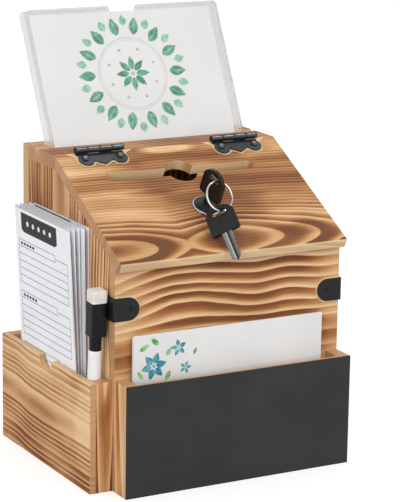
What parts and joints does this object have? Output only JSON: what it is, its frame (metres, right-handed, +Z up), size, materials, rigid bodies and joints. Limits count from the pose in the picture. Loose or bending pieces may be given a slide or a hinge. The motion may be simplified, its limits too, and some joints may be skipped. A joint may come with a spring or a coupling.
{
  "type": "suggestion box",
  "caption": "Torched-wood suggestion box with a locked sloping lid and letter slot, a clear sign stand, a chalkboard card pocket, a side slip pocket, keys and a marker",
  "frame": {"origin": "the centre of the box's own footprint, at the level of the surface it stands on", "axes": "+X to the right as seen from the front, +Y from the front to the back, +Z up"},
  "size_m": [0.2163, 0.2112, 0.3406],
  "materials": {
    "torched_wood": "torched pine with a clear matt finish",
    "black_metal": "satin black",
    "bright_steel": "nickel plated",
    "chrome": "polished",
    "black_plastic": "satin black",
    "white_plastic": "gloss white",
    "clear_acrylic": "clear, polished",
    "paper": "matt coated card",
    "chalkboard_paint": "matt black",
    "felt": "pressed felt"
  },
  "bodies": {
    "box": {"front_panel": "torched_wood", "back_panel": "torched_wood", "left_side_panel": "torched_wood", "right_side_panel": "torched_wood", "bottom_panel": "torched_wood", "top_board": "torched_wood", "left_hinge_fixed_leaf": "black_metal", "right_hinge_fixed_leaf": "black_metal", "hinge_pins": "black_metal", "fixed_leaf_screws": "black_metal", "left_corner_bracket": "black_metal", "right_corner_bracket": "black_metal", "bracket_screws": "black_metal", "lock_strike": "black_metal", "strike_screws": "black_metal", "slip_pocket_outer_board": "torched_wood", "slip_pocket_front_board": "torched_wood", "slip_pocket_back_board": "torched_wood", "slip_pocket_bottom": "torched_wood", "card_pocket_left_side": "torched_wood", "card_pocket_right_side": "torched_wood", "card_pocket_bottom": "torched_wood", "card_pocket_front_board": "torched_wood", "chalkboard": "chalkboard_paint"},
    "lid": {"lid_panel": "torched_wood", "left_hinge_lid_leaf": "black_metal", "right_hinge_lid_leaf": "black_metal", "lid_leaf_screws": "black_metal", "lock_housing": "black_metal", "lock_rim": "chrome", "lock_nut": "black_metal"},
    "lock": {"lock_plug": "black_metal", "lock_cam": "black_metal", "cam_screw": "black_metal"},
    "key": {"key_blade": "bright_steel", "key_head": "black_plastic"},
    "ring": {"key_ring": "bright_steel"},
    "spare_key": {"spare_key_blade": "bright_steel", "spare_key_head": "black_plastic"},
    "sign": {"sign_holder": "clear_acrylic"},
    "sign_insert": {"sign_card": "paper"},
    "slips": {"suggestion_slips": "paper"},
    "cards": {"display_cards": "paper"},
    "marker": {"marker_barrel": "white_plastic", "marker_collar": "black_plastic", "marker_nib": "felt"},
    "marker_top": {"marker_cap": "black_plastic", "marker_eraser": "felt"}
  },
  "joints": [
    {"name": "lid_hinge", "type": "hinge", "parent": "box", "child": "lid", "pos_m": [0, 0.0222, 0.2417], "axis": [-1, 0, 0], "range_deg": [0, 105]},
    {"name": "lock_turn", "type": "hinge", "parent": "lid", "child": "lock", "pos_m": [-0.0015, -0.04469, 0.20285], "axis": [0, -0.4695, 0.8829], "range_deg": [0, 90]},
    {"name": "key_pull", "type": "slide", "parent": "lock", "child": "key", "axis": [0, -0.4695, 0.8829], "range_m": [0, 0.03]},
    {"name": "ring_swing", "type": "hinge", "parent": "key", "child": "ring", "pos_m": [-0.00067, -0.06157, 0.22628], "axis": [-0.9829, -0.0655, 0.1721], "range_deg": [0, 20]},
    {"name": "spare_key_swing", "type": "hinge", "parent": "ring", "child": "spare_key", "pos_m": [-0.00366, -0.07112, 0.20557], "axis": [-0.9829, -0.0655, 0.1721], "range_deg": [0, 12]},
    {"name": "sign_lift", "type": "slide", "parent": "box", "child": "sign", "axis": [0, 0.4462, 0.8949], "range_m": [0, 0.06]},
    {"name": "sign_card_lift", "type": "slide", "parent": "sign", "child": "sign_insert", "axis": [0, 0.4462, 0.8949], "range_m": [0, 0.09]},
    {"name": "slips_lift", "type": "slide", "parent": "box", "child": "slips", "axis": [0, 0, 1], "range_m": [0, 0.1]},
    {"name": "cards_lift", "type": "slide", "parent": "box", "child": "cards", "axis": [0, 0, 1], "range_m": [0, 0.05]},
    {"name": "marker_lift", "type": "slide", "parent": "box", "child": "marker", "axis": [0, -0.0698, 0.9976], "range_m": [0, 0.09]},
    {"name": "cap_pull", "type": "slide", "parent": "marker", "child": "marker_top", "axis": [0, -0.0698, 0.9976], "range_m": [0, 0.03]}
  ]
}
